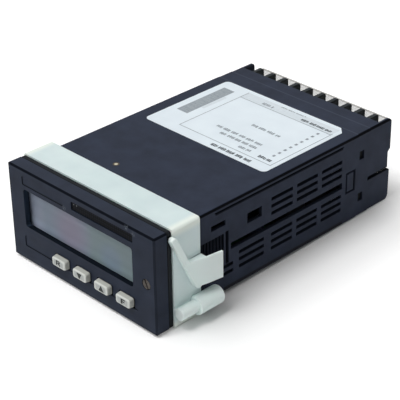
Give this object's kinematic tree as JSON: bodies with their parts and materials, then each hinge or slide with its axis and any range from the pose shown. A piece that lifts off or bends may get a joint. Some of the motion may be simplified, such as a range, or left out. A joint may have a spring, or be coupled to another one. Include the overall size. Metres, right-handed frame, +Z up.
{
  "type": "panel-mounted temperature controller",
  "caption": "Plug-in temperature controller in a vented sleeve with a bezel, display, keys, barrier terminals and a white ratchet clamp collar for panel mounting.",
  "frame": {"origin": "centre of the panel cut-out, on the panel's front face, where the flange's rear face seats", "axes": "+X to the right seen from the front, +Y from the front to the rear, +Z up"},
  "size_m": [0.1112, 0.1586, 0.049],
  "materials": {
    "housing": "fine spark-eroded texture, satin",
    "seal_rubber": "matt",
    "window_clear": "clear, glossy",
    "display_cell": "grey polariser, satin",
    "black_plastic": "moulded, satin",
    "strip_smoked": "smoked, glossy",
    "circuit_board": "solder resist over glass laminate",
    "lamp_clear": "clear resin",
    "key_cream": "moulded, satin",
    "screw_black": "blackened steel",
    "contact_brass": "turned",
    "collar_white": "moulded nylon, satin",
    "label_film": "printed film, satin",
    "plated_steel": "zinc plated",
    "cover_clear": "clear, glossy",
    "core_steel": "varnished laminations",
    "coil_wrap": "taped winding",
    "can_sleeve": "shrink sleeve over a can"
  },
  "bodies": {
    "sleeve": {"case": "housing", "screw_insert": "contact_brass", "rating_label": "label_film", "terminal_block": "black_plastic", "terminal_screws": "plated_steel", "terminal_clamps": "plated_steel", "socket_contacts": "contact_brass", "terminal_cover": "cover_clear"},
    "plug_in_unit": {"bezel": "housing", "bezel_gasket": "seal_rubber", "display_window": "window_clear", "display_glass": "display_cell", "display_holder": "black_plastic", "indicator_lens": "strip_smoked", "indicator_board": "circuit_board", "indicator_leds": "lamp_clear", "key_switches": "black_plastic", "display_board": "circuit_board", "upper_board": "circuit_board", "lower_board": "circuit_board", "board_headers": "black_plastic", "board_spacers": "plated_steel", "board_screws": "plated_steel", "transformer_core": "core_steel", "transformer_coil": "coil_wrap", "relays": "black_plastic", "capacitors": "can_sleeve", "chips": "black_plastic"},
    "key_1": {"key_1": "key_cream"},
    "key_2": {"key_2": "key_cream"},
    "key_3": {"key_3": "key_cream"},
    "key_4": {"key_4": "key_cream"},
    "front_screw": {"front_screw": "screw_black"},
    "collar": {"collar": "collar_white"},
    "jack_screw_right": {"jack_screw_right": "collar_white"},
    "jack_screw_left": {"jack_screw_left": "collar_white"}
  },
  "joints": [
    {"name": "unit_slide", "type": "slide", "parent": "sleeve", "child": "plug_in_unit", "axis": [0, -1, 0], "range_m": [0, 0.14]},
    {"name": "key_1_press", "type": "slide", "parent": "plug_in_unit", "child": "key_1", "axis": [0, 1, 0], "range_m": [0, 0.0008], "stiffness_N_per_m": 1500},
    {"name": "key_2_press", "type": "slide", "parent": "plug_in_unit", "child": "key_2", "axis": [0, 1, 0], "range_m": [0, 0.0008], "stiffness_N_per_m": 1500},
    {"name": "key_3_press", "type": "slide", "parent": "plug_in_unit", "child": "key_3", "axis": [0, 1, 0], "range_m": [0, 0.0008], "stiffness_N_per_m": 1500},
    {"name": "key_4_press", "type": "slide", "parent": "plug_in_unit", "child": "key_4", "axis": [0, 1, 0], "range_m": [0, 0.0008], "stiffness_N_per_m": 1500},
    {"name": "front_screw_turn", "type": "hinge", "parent": "plug_in_unit", "child": "front_screw", "pos_m": [0.0425, -0.0097, 0], "axis": [0, 1, 0], "continuous": true},
    {"name": "collar_slide", "type": "slide", "parent": "sleeve", "child": "collar", "axis": [0, 1, 0], "range_m": [0, 0.13]},
    {"name": "jack_right_turn", "type": "hinge", "parent": "collar", "child": "jack_screw_right", "pos_m": [0.0513, 0.0208, -0.0161], "axis": [0, 1, 0], "continuous": true},
    {"name": "jack_left_turn", "type": "hinge", "parent": "collar", "child": "jack_screw_left", "pos_m": [-0.0513, 0.0208, -0.0161], "axis": [0, 1, 0], "continuous": true}
  ]
}
